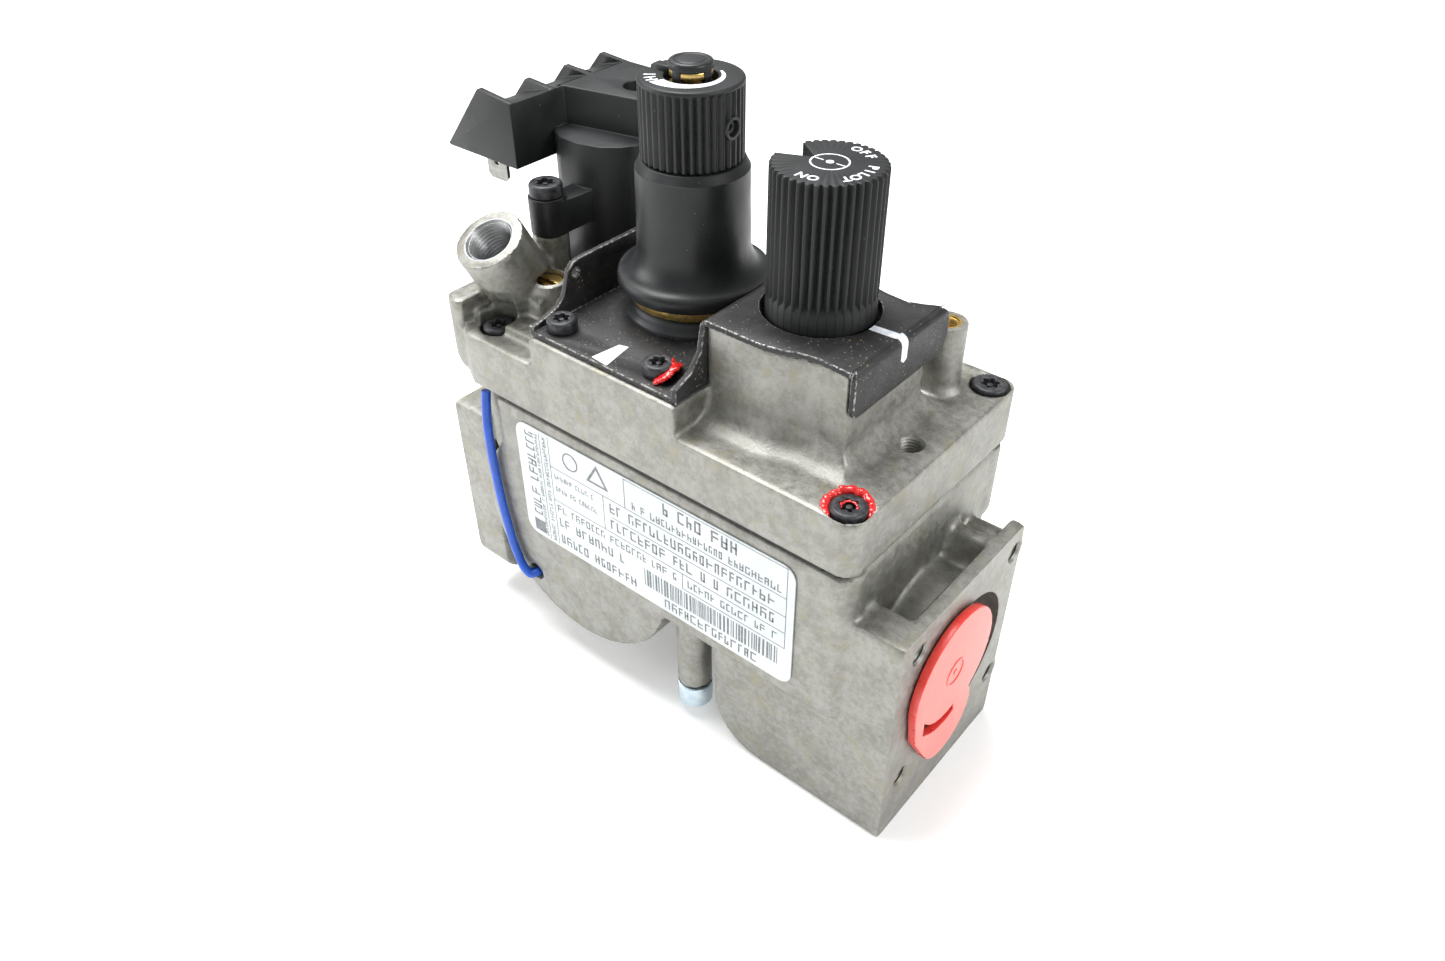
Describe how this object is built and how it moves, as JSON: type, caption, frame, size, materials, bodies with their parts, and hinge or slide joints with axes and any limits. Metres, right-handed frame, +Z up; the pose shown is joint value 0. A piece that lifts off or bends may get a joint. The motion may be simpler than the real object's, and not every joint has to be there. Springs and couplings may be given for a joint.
{
  "type": "gas valve",
  "caption": "Combination gas control valve for boilers and gas fires: two flanged aluminium castings with a push-and-turn knob, a Hi/Lo regulator and a wiring terminal block.",
  "frame": {"origin": "centre of the bounding box footprint, on the plane the valve stands on", "axes": "+X along the gas line towards the inlet flange, +Y away from the rating label, +Z up along the knobs"},
  "size_m": [0.1416, 0.0634, 0.1376],
  "materials": {
    "cast_aluminium": "mottled as-cast aluminium, satin where machined",
    "black_steel": "matte black painted sheet steel",
    "black_plastic": "moulded black plastic",
    "black_screw": "blackened steel screw",
    "brass": "machined brass",
    "steel": "bright steel",
    "zinc": "blue passivated zinc plate",
    "rubber": "black nitrile rubber",
    "label": "white printed film",
    "red_plastic": "soft red plastic",
    "blue_wire": "blue wire insulation",
    "copper": "enamelled copper winding"
  },
  "bodies": {
    "valve_body": {"lower_body": "cast_aluminium", "upper_cover": "cast_aluminium", "cover_gasket": "rubber", "mounting_bracket": "black_steel", "knob_return_spring": "steel", "spindle_o_ring": "rubber", "safety_valve_seat": "brass", "safety_valve_spring": "steel", "holding_magnet": "steel", "regulator_base_ring": "black_plastic", "regulator_body": "brass", "regulator_sleeve": "black_plastic", "regulator_spring": "steel", "regulator_diaphragm": "rubber", "main_valve_seat": "brass", "main_diaphragm": "rubber", "main_valve_spring": "steel", "terminal_block": "black_plastic", "terminal_block_screw": "black_screw", "terminal_screw_1": "steel", "terminal_screw_2": "steel", "terminal_screw_3": "steel", "quick_connect_tab": "steel", "operator_coil": "copper", "post_insert": "brass", "inlet_filter": "steel", "rating_label": "label", "column_plug": "zinc", "foot_plug": "zinc", "blue_wire": "blue_wire", "cover_screw_near_right": "black_screw", "cover_screw_far_right": "black_screw", "cover_screw_near_left": "black_screw", "cover_screw_far_left": "black_screw", "cover_screw_far_middle": "black_screw", "bracket_screw_1": "black_screw", "bracket_screw_2": "black_screw"},
    "rotor": {"control_rotor": "brass"},
    "knob": {"control_knob": "black_plastic", "knob_spindle": "brass"},
    "safety_valve": {"safety_valve_disc": "steel"},
    "hi_lo": {"hi_lo_knob": "black_plastic", "hi_lo_set_screw": "black_screw", "hi_lo_stem": "brass", "hi_lo_clip_cap": "black_plastic"},
    "regulator_seat": {"regulator_spring_seat": "steel"},
    "main_valve": {"main_valve_disc": "steel"},
    "plunger": {"operator_plunger": "steel"},
    "cap": {"inlet_cap": "red_plastic"},
    "pilot_screw": {"pilot_adjusting_screw": "brass"}
  },
  "joints": [
    {"name": "control_knob_turn", "type": "hinge", "parent": "valve_body", "child": "rotor", "pos_m": [0.03025, -0.00261, 0.06], "axis": [0, 0, 1], "range_deg": [-80, 80]},
    {"name": "control_knob_push", "type": "slide", "parent": "rotor", "child": "knob", "axis": [0, 0, -1], "range_m": [0, 0.005], "stiffness_N_per_m": 1200, "springref_m": -0.002, "deforming": ["knob_return_spring"]},
    {"name": "safety_valve_lift", "type": "slide", "parent": "valve_body", "child": "safety_valve", "axis": [0, 0, -1], "range_m": [0, 0.005], "deforming": ["safety_valve_spring"]},
    {"name": "hi_lo_turn", "type": "hinge", "parent": "valve_body", "child": "hi_lo", "pos_m": [-0.0025, 0.00019, 0.128], "axis": [0, 0, 1], "range_deg": [0, 225]},
    {"name": "regulator_seat_travel", "type": "slide", "parent": "valve_body", "child": "regulator_seat", "axis": [0, 0, 1], "range_m": [0, 0.00196], "deforming": ["regulator_spring"]},
    {"name": "main_valve_lift", "type": "slide", "parent": "valve_body", "child": "main_valve", "axis": [0, 0, 1], "range_m": [0, 0.003], "stiffness_N_per_m": 300, "springref_m": -0.003, "deforming": ["main_valve_spring", "main_diaphragm"]},
    {"name": "operator_plunger_lift", "type": "slide", "parent": "valve_body", "child": "plunger", "axis": [0, 0, 1], "range_m": [0, 0.0012]},
    {"name": "inlet_cap_pull", "type": "slide", "parent": "valve_body", "child": "cap", "axis": [1, 0, 0], "range_m": [0, 0.02]},
    {"name": "pilot_screw_turn", "type": "hinge", "parent": "valve_body", "child": "pilot_screw", "pos_m": [-0.03245, -0.01271, 0.085], "axis": [0, 0, 1], "range_deg": [-180, 180]}
  ],
  "couplings": [
    {"joint": "safety_valve_lift", "follows": "control_knob_push", "ratio": 1},
    {"joint": "hi_lo_turn", "follows": "regulator_seat_travel", "rad_per_m": 2000}
  ]
}
